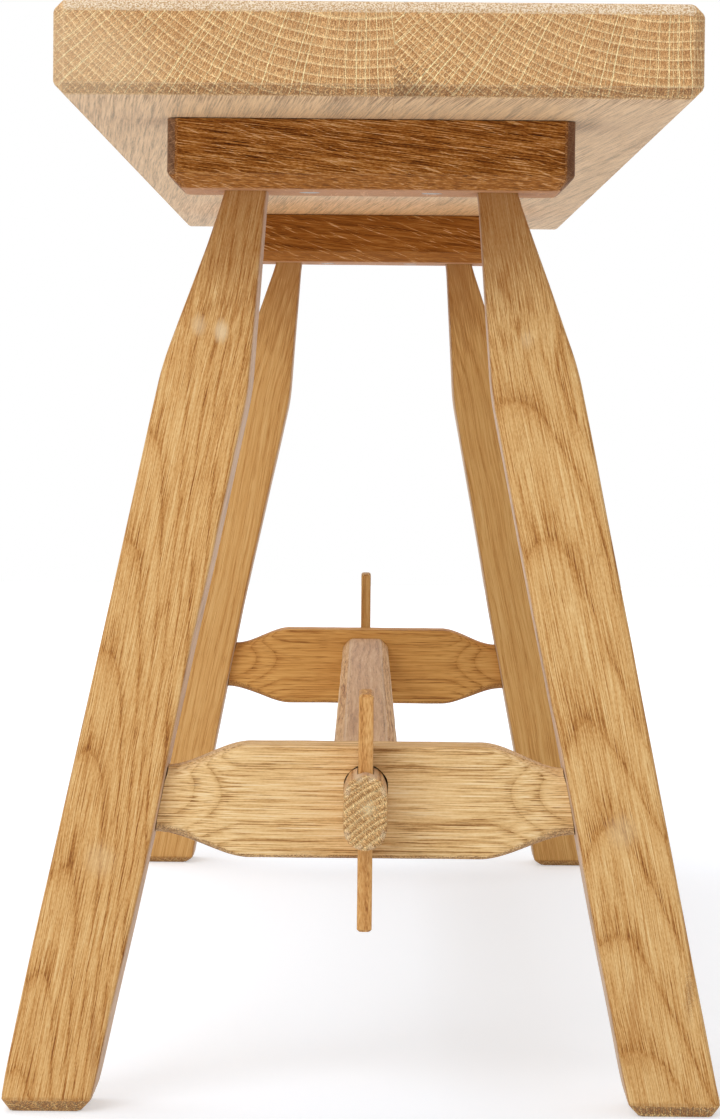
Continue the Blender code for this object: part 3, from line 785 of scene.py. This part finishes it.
def longPiece(seed, material):
    # a chamfered beam with a rounded tenon beyond each shoulder
    name = "long_stretcher"
    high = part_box(name)[1]
    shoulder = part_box("cross_stretcher_rear")[0].y - gap
    bodyLow, bodyHigh = slices(name, 1, [0.0, (shoulder + high.y) / 2])
    sizes = (bodyHigh - bodyLow) / 2
    middle = (bodyLow[0] + bodyHigh[0]) / 2
    bevel = longShape["tenonBevel"] * mm
    bevelAlong, bevelIn = np.array([0.3, 0.6, 0.85, 1.0]), np.array([0.06, 0.25, 0.55, 1.0])
    beam, tenon = longShape["beamSteps"], longShape["tenonSteps"]
    along = np.concatenate([np.linspace(0, shoulder, beam), np.linspace(shoulder, high.y - bevel, tenon),
                            high.y - bevel + bevel * bevelAlong])
    halfSizes = np.concatenate([np.repeat(sizes[:1], beam, 0), np.repeat(sizes[1:], tenon, 0),
                                sizes[1] - bevel * bevelIn[:, None]])
    onBeam = np.arange(len(along)) < beam
    cuts = np.where(onBeam, longShape["chamfer"], longShape["tenonChamfer"]) * mm
    rounding = np.where(onBeam, longShape["arris"], longShape["tenonArris"]) * mm
    along, halfSizes = mirrored(along, -1), mirrored(halfSizes)
    cuts, rounding = mirrored(cuts), mirrored(rounding)
    outline, wear = soften(eightCorners(halfSizes, cuts), rounding[:, None], [4, 5] * 4, 5)
    rings = placeRings(outline + middle, 1, along)
    piece = addPiece(name, rings, wear, longShape, material, seed)
    slots = []
    for end, side in endSigns.items():
        key = "key_" + end
        slot = taperedHole(key, middle[1] - sizes[1, 1], middle[1] + sizes[1, 1], gap)
        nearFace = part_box(key)[(1 - side) // 2].y
        nearest = np.abs(slot[:, :, 1] - nearFace) < 1 * mm
        slot[:, :, 1] -= np.where(nearest, side * longShape["slotPlay"] * mm, 0)
        slots.append(slot)
    hollow(piece, slots)


# Keys

keyShape = {"arris": 0.8, "arrisWear": 0.2, "waveDepth": 0.10, "waveLength": 30, "step": 2.0}


def keyPiece(end, seed, material):
    # the CAD key's box at every height, with rubbed arrises
    name = "key_" + end
    low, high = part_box(name)
    tips = np.array([0.02, 0.35, 0.7, 1.0, 1.4, 2.0]) * mm
    between = np.arange(low.z + 4 * mm, high.z - 3 * mm, keyShape["step"] * mm)
    heights = np.concatenate([low.z + tips, between, (high.z - tips)[::-1]])
    outline, wear = soften(fourCorners(*slices(name, 2, heights)), keyShape["arris"] * mm, [3, 8, 3, 8])
    rings = placeRings(outline, 2, heights)
    addPiece(name, rings, wear, keyShape, material, seed, body=end + "_key")


# The woods of this bench. Grain runs along each piece; the pith is where its end grain curves round to.

seatWood = {
    "grain": (-0.08, 1, 0), "outwards": (0, 0, -1), "ringWidth": 24.7, "ringTighten": 0.00113, "bend": 2.0,
    "rayGap": 3.4, "rayWidth": 0.028, "rayShare": 1.0, "rayBreaks": 0.04, "fineRayGap": 1.5,
    "fineRayWidth": 0.046, "fineRayShare": 0.72, "speckle": 0.46, "tickShare": 0.24, "tickWidth": 0.38,
    "streaks": [(0.7, 50, 0.95), (2.4, 90, 0.14), (12, 200, 0.12)], "ringShare": 0.10, "poreShare": 0.16,
    "gritShare": 0.7,
    "tints": [tint((0, -1, 1), 0.86, 0.97, 0.72, "B8946A"),
              tint((0, -1, 1), 0.86, 0.97, 0.80, "F4E4CA", fine=True),
              tint((0, -1, -1), 0.86, 0.97, 0.60, "745138", fine=True),
              tint((-1, -1, 0), 0.90, 0.98, 0.45, "9A7048", fine=True),
              tint((1, -1, 0), 0.90, 0.98, 0.45, "9A7048", fine=True),
              # the last two tints warm the underside and paint it paler: painted light, as little light
              # reaches it from below
              tint((0, 0, -1), 0.90, 0.99, 0.72, "F4C68C", blend="COLOR"),
              tint((0, 0, -1), 0.90, 0.99, 0.32, "FAE4C4")]}
seatStains = [stainAndPaintedLight((0, -0.49, 0.412), (0.5, 0.06, 0.004), 0.55, "905E2E", 1.7),
              stainAndPaintedLight((0, 0.30, 0.412), (0.12, 0.16, 0.01), 0.6, "D8A062", blend="COLOR")]
seatWoods = {
    "left": oakWood("oakSeatLeft", {**seatWood, "pith": (-0.005, -0.5, 0.528), "stainsAndPaintedLight": seatStains + [
        stainAndPaintedLight((-0.13, -0.5, 0.42), (0.06, 0.02, 0.035), 0.30, "E6CCA6", 0.6)]}),
    "right": oakWood("oakSeatRight", {**seatWood, "pith": (0.116, -0.5, 0.536), "stainsAndPaintedLight": seatStains + [
        stainAndPaintedLight((0.010, -0.5, 0.4135), (0.036, 0.02, 0.018), 0.5, "6C5036", 1.35, "ticks")]})}
battenWood = {
    "grain": (1, 0, -0.12), "outwards": (0, 1, -0.3), "ringWidth": 3.4, "ringShare": 0.03,
    "face": {0.0: "341600", 0.25: "6C3C07", 0.5: "9D6422", 0.75: "C49352", 1.0: "E2C298"},
    "end": {0.0: "97765A", 0.3: "70503A", 1.0: "86664A"}, "rayColour": "AE8E6C", "edgeColour": "B08A62",
    "streaks": [(0.36, 18, 1.05), (1.1, 40, 0.14), (6, 70, 0.06)], "poreShare": 0.15, "gritShare": 0.6,
    "sheen": 0.12, "dye": "FFF0E2",
    # the first tint paints the underside paler: painted light, as little light reaches it from below
    "tints": [tint((0, 0, -1), 0.85, 0.98, 0.6, "E0B692"), tint((0, -1, -1), 0.90, 0.98, 0.30, "BC8650")],
    "stainsAndPaintedLight": [stainAndPaintedLight((0.0865, -0.39, 0.399), (0.007, 0.03, 0.02), 0.6, "5C3A22", edge="grit")],
    "flecks": {"turn": (0, math.radians(20), 0), "size": (20, 30, 0.85), "curl": 1.2, "from": 0.62,
               "share": 0.36}}
battenWoods = {
    "front": oakWood("oakBattenFront", {**battenWood, "pith": (0, -0.45, 0.43)}),
    "rear": oakWood("oakBattenRear", {
        **battenWood, "pith": (0, 0.30, 0.43), "poreShare": 0.16, "gritShare": 0.1,
        "streaks": [(0.6, 18, 0.34), (1.6, 36, 0.22), (6, 70, 0.12)]})}
legWood = {
    "outwards": (0, -1, 0), "ringWidth": 3.6, "ringDrift": 2.0, "ringLine": 0.11, "bend": 4.0,
    "bendSize": (60, 150), "streaks": [(0.40, 30, 0.60), (1.0, 70, 0.08), (7, 180, 0.10)], "deep": 3.5,
    "poreShare": 0.17, "gritShare": 0.42, "edgeColour": "8E5E32", "edgeShare": 0.45,
    "face": {0.0: "7A4414", 0.25: "B37B3C", 0.5: "D5A66C", 0.75: "E8C490", 1.0: "F4DCB2"}}
softLeg = {"ringShare": 0.04, "ringLine": 0.05, "poreShare": 0.10, "gritShare": 0.05,
           "streaks": [(0.5, 30, 0.30), (1.2, 70, 0.09), (7, 180, 0.14)]}
paleMark = {"size": (0.0045, 0.02, 0.007), "colour": "F2E2C8", "ragged": 0.7}
scuff = {"size": (0.010, 0.03, 0.011), "colour": "EAD3B0", "ragged": 0.9}
legChanges = {
    ("front", "left"): {
        "grain": (0.199, 0.112, 1), "pith": (-0.119, -0.398, 0.112), "trunkTaper": 0.075, "ringShare": 0.07,
        "dye": "FFFBEA", "stainsAndPaintedLight": [
            stainAndPaintedLight((-0.0622, -0.396, 0.3244), share=0.62, **paleMark),
            stainAndPaintedLight((-0.0718, -0.396, 0.3268), share=0.4, **paleMark),
            stainAndPaintedLight((-0.110, -0.42, 0.104), share=0.26, **scuff),
            stainAndPaintedLight((-0.127, -0.424, 0.058), (0.007, 0.02, 0.008), 0.40, "B47838", 1.2),
            stainAndPaintedLight((-0.1117, -0.428, 0.03), (0.0024, 0.02, 0.035), 0.40, "9C6430", 0.9)]},
    ("front", "right"): {
        "grain": (-0.199, 0.110, 1), "pith": (0.098, -0.325, 0.114), "trunkTaper": 0.065, "ringShare": 0.07,
        "dye": "FFFEF0", "stainsAndPaintedLight": [
            stainAndPaintedLight((0.066, -0.40, 0.322), share=0.3, **paleMark),
            stainAndPaintedLight((0.107, -0.42, 0.1175), share=0.30, **scuff),
            stainAndPaintedLight((0.135, -0.425, 0.052), (0.0042, 0.03, 0.024), 0.60, "9A7250", 1.4, "grit"),
            stainAndPaintedLight((0.112, -0.426, 0.045), (0.0045, 0.03, 0.03), 0.40, "B07434", 1.1)]},
    ("rear", "left"): {
        **softLeg, "grain": (0.199, -0.105, 1), "pith": (-0.140, 0.430, 0.1), "dye": "FFFAE4"},
    ("rear", "right"): {
        **softLeg, "grain": (-0.199, -0.105, 1), "pith": (0.140, 0.430, 0.1), "dye": "FFFAE0"}}
neckShadeShare, footShare = {"left": 0.44, "right": 0.60}, {"front": 0.75, "rear": 0.35}     # how strong the painted shade at the leg tops is, and the dark tint on the foot chamfers
legWoods = {}
for (end, hand), changes in legChanges.items():
    side = handSigns[hand]
    inside = (-side, 0, -0.2)
    # painted shade at each leg's top, under the batten and the seat
    paintedNeckShade = stainAndPaintedLight((side * 0.052, endSigns[end] * 0.372, 0.385), (0.05, 0.05, 0.085), neckShadeShare[hand],
                     "96602C", 0.9)
    legWoods[end, hand] = oakWood("oakLeg" + end.capitalize() + hand.capitalize(), {
        **legWood, **changes, "stainsAndPaintedLight": [paintedNeckShade] + changes.get("stainsAndPaintedLight", []),
        # the first two tints paint the inner faces paler and pinker: a painted sheen
        "tints": [tint(inside, 0.6, 0.95, 0.75, "D8BDAF", blend="COLOR"),
                  tint(inside, 0.6, 0.95, 0.42, "E2C8B8"),
                  tint((0, -0.75, -0.66), 0.93, 0.98, footShare[end], "7C5E4C", fine=True)]})
crossWood = {
    "grain": (1, 0, 0), "outwards": (0, -1, 0), "ringWidth": 1.6, "ringShare": 0.075, "ringLine": 0.08,
    "bend": 1.5, "streaks": [(0.40, 30, 0.90), (1.0, 60, 0.16), (7, 150, 0.08)], "deep": 3.5,
    "gritShare": 0.25,
    "face": {0.0: "8C6030", 0.25: "C4965A", 0.5: "E7C084", 0.75: "F4D49E", 1.0: "F8E2BA"},
    # both tints paint the faces turned down darker brown: painted shade
    "tints": [tint((0, -0.5, -1), 0.68, 0.90, 0.25, "A06C30"),
              tint((0, -0.5, -1), 0.60, 0.86, 0.85, "7C4E22", fine=True)]}
crossWoods = {
    "front": oakWood("oakCrossFront", {**crossWood, "pith": (0, -0.34, 0.130)}),
    "rear": oakWood("oakCrossRear", {
        **crossWood, "pith": (0, 0.43, 0.130), "dye": "E7CC9D", "gritShare": 0.05,
        "streaks": [(0.6, 30, 0.55), (1.4, 60, 0.22), (7, 150, 0.12)]})}
longWood = oakWood("oakLong", {
    "grain": (0, 1, 0), "outwards": (-0.57, 0, 0.82), "pith": (0.075, -0.4, 0.023), "ringWidth": 2.6,
    "streaks": [(0.8, 40, 0.55), (2.2, 80, 0.35), (9, 150, 0.2)], "rayShare": 0.3, "rayAt": 125,
    "fineRayShare": 0.30, "speckle": 0.66, "tickShare": 0.35, "edgeShare": 0.5, "edgeColour": "EBD8BA",
    "dye": "F8F4F0",
    "end": {0.0: "E6C68E", 0.15: "DBB67E", 0.3: "B07E46", 0.6: "C4945A", 0.85: "D2A66E", 1.0: "E4C48E"},
    # the first tint paints the top faces a pale pinkish grey: a painted sheen
    "tints": [tint((0, 0, 1), 0.8, 0.98, 0.45, "DABDA5"),
              tint((0, -1, 0), 0.8, 0.97, 0.25, "8E6436", fine=True)],
    # a pale patch on each tenon's top: a painted highlight where the tenon lies in shade
    "stainsAndPaintedLight": [stainAndPaintedLight((0, side * 0.426, 0.146), (0.05, 0.034, 0.014), 0.7, "E8D2B0", 1.6, "grit")
               for side in endSigns.values()]
    + [stainAndPaintedLight((0.001, side * 0.4445, 0.130), (0.008, 0.01, 0.008), 0.6, "EADCB4", 1.8, "grit")
       for side in endSigns.values()]})
keyWood = {"grain": (0, 0, 1), "outwards": (1, 0.2, 0), "poreShare": 0.12, "ringShare": 0.10,
           "streaks": [(0.45, 20, 0.45), (1.2, 40, 0.16), (7, 150, 0.08)]}
keyWoods = {"front": oakWood("oakKeyFront", {**keyWood, "pith": (-0.05, -0.42, 0.1), "dye": "FBEDD2"}),
            "rear": oakWood("oakKeyRear", {**keyWood, "pith": (-0.05, 0.42, 0.1), "dye": "E9E1C3"})}
wedgeWood = oakWood("oakWedge", {"grain": (0, 0, 1), "outwards": (1, 0, 0), "pith": (-0.3, 0, 0.3)})
print("woods ready")


# Zinc-plated steel, turned, so a soft satin sheen with fine rings from the lathe

def screwSteel():
    made, shader, add = newMaterial("zincScrew", {"Metallic": 1.0})
    coordinates = add("TexCoord")
    marks = add("TexNoise", {"Scale": 900.0, "Detail": 2.0}, {"Vector": coordinates.outputs["Object"]})
    tone = add("ValToRGB", {}, {"Fac": marks})
    setRamp(tone.color_ramp, {0.2: "8F8B83", 0.5: "A8A49C", 0.8: "BDBAB3"})
    rough = add("MapRange", {"To Min": 0.28, "To Max": 0.45}, {"Value": marks})
    feed(made.node_tree, shader, {"Base Color": tone, "Roughness": rough})
    return made


# Pieces. Each has its own seed for its tool waves.

for seed, hand in enumerate(handSigns):
    seatBoard(hand, 11 + seed, seatWoods[hand])
print("seat ready")
steel = screwSteel()
for seed, end in enumerate(endSigns):
    battenPiece(end, 21 + seed, battenWoods[end])
    crossPiece(end, 31 + seed, crossWoods[end])
    keyPiece(end, 41 + seed, keyWoods[end])
    for place, hand in enumerate(handSigns):
        legPiece(end, hand, 51 + 2 * seed + place, legWoods[end, hand])
        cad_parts["tenon_wedge_" + end + "_" + hand].material_slots[0].material = wedgeWood
        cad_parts["screw_" + end + "_" + hand].material_slots[0].material = steel
    print(end, "trestle ready")
longPiece(61, longWood)
print("stretcher ready")


# Studio: a matt white floor and sky that the camera sees as white, two soft boxes

studio = {"floorSize": 8.0, "floorDrop": 0.2, "floorSeen": "D8DDE5", "floorLit": "F0F1F4", "nearGlow": 0.41,
          "farGlow": 0.72, "glowFrom": 0.8, "glowTo": 2.6, "skyLight": 0.62, "boxSize": 2.4,
          "boxAim": (0, 0, 0.2), "boxes": {"frontBox": ((-1.6, -3.2, 2.6), 60.0),
                                           "topBox": ((-0.6, 0.9, 3.4), 42.0)}}         # place and watts


def seenDirectly(add):
    # 1 for rays from the camera, off gloss or through glass, 0 for light that falls on the object
    path = add("LightPath")
    seen = path.outputs["Is Camera Ray"]
    for way in ("Is Glossy Ray", "Is Transmission Ray"):
        seen = add("Math MAXIMUM", {}, {0: seen, 1: path.outputs[way]})
    return seen


def makeStudio():
    half, drop = studio["floorSize"] / 2, -studio["floorDrop"] * mm
    mesh = bpy.data.meshes.new("floor")
    mesh.from_pydata([(-half, -half, drop), (half, -half, drop), (half, half, drop), (-half, half, drop)],
                     [], [(0, 1, 2, 3)])
    floor = addObject("floor", mesh)
    made, shader, add = newMaterial("paintedFloor", {"Roughness": 0.9, "Specular IOR Level": 0.1})
    seen = seenDirectly(add)
    paint = add("Mix", {**colours, 6: linear(studio["floorLit"]), 7: linear(studio["floorSeen"])}, {0: seen})
    feed(made.node_tree, shader, {"Base Color": paint.outputs[2]})
    coordinates = add("TexCoord")
    away = add("VectorMath LENGTH", {}, {0: coordinates.outputs["Object"]})
    glow = add("MapRange", {"From Min": studio["glowFrom"], "From Max": studio["glowTo"],
                            "To Min": studio["nearGlow"], "To Max": studio["farGlow"]},
               {"Value": away.outputs["Value"]})
    glow = add("Math MULTIPLY", {}, {0: glow, 1: seen})
    lamp = add("Emission", {"Color": (1, 1, 1, 1)}, {"Strength": glow})
    both = add("AddShader", {}, {0: shader, 1: lamp})
    feed(made.node_tree, made.node_tree.nodes["Material Output"], {"Surface": both})
    mesh.materials.append(made)

    world = bpy.data.worlds.new("studio")
    bpy.context.scene.world = world
    world.use_nodes = True
    addSky = partial(addNode, world.node_tree)
    seen = seenDirectly(addSky)
    strength = addSky("MapRange", {"To Min": studio["skyLight"], "To Max": 1.0}, {"Value": seen})
    background = world.node_tree.nodes["Background"]
    background.inputs["Color"].default_value = (1, 1, 1, 1)
    feed(world.node_tree, background, {"Strength": strength})

    for name, (at, watts) in studio["boxes"].items():
        light = bpy.data.lights.new(name, "AREA")
        light.shape = "SQUARE"
        light.size = studio["boxSize"]
        light.energy = watts
        lamp = addObject(name, light)
        lamp.location = at
        lamp.rotation_euler = (Vector(studio["boxAim"]) - Vector(at)).to_track_quat("-Z", "Y").to_euler()


# Camera: where it stood, found by fitting the bench's straight edges to the photograph

view = {"at": (-1.529, -1877.976, 291.64), "downDegrees": 2.417, "yawDegrees": -0.063, "rollDegrees": 0.52,
        "focalPixels": 3544.7, "picturePixels": 1119, "sensor": 36.0}


def makeCamera():
    down, yaw, roll = (math.radians(view[k]) for k in ("downDegrees", "yawDegrees", "rollDegrees"))
    start = np.array([[1, 0, 0], [0, 0, -1], [0, 1, 0]])
    tip = np.array([[1, 0, 0], [0, math.cos(down), -math.sin(down)], [0, math.sin(down), math.cos(down)]])
    turn = np.array([[math.cos(yaw), 0, -math.sin(yaw)], [0, 1, 0], [math.sin(yaw), 0, math.cos(yaw)]])
    spin = np.array([[math.cos(roll), -math.sin(roll), 0], [math.sin(roll), math.cos(roll), 0], [0, 0, 1]])
    right, below, ahead = spin @ tip @ turn @ start
    lens = bpy.data.cameras.new("camera")
    lens.sensor_width = view["sensor"]
    lens.lens = view["sensor"] * view["focalPixels"] / view["picturePixels"]
    lens.clip_start, lens.clip_end = 0.1, 50
    camera = addObject("camera", lens)
    camera.matrix_world = Matrix.Translation(Vector(view["at"]) * mm) @ Matrix(
        (right, -below, -ahead)).transposed().to_4x4()
    bpy.context.scene.camera = camera


makeStudio()
makeCamera()
bpy.context.scene.view_settings.view_transform = "Standard"
print("studio and camera ready")
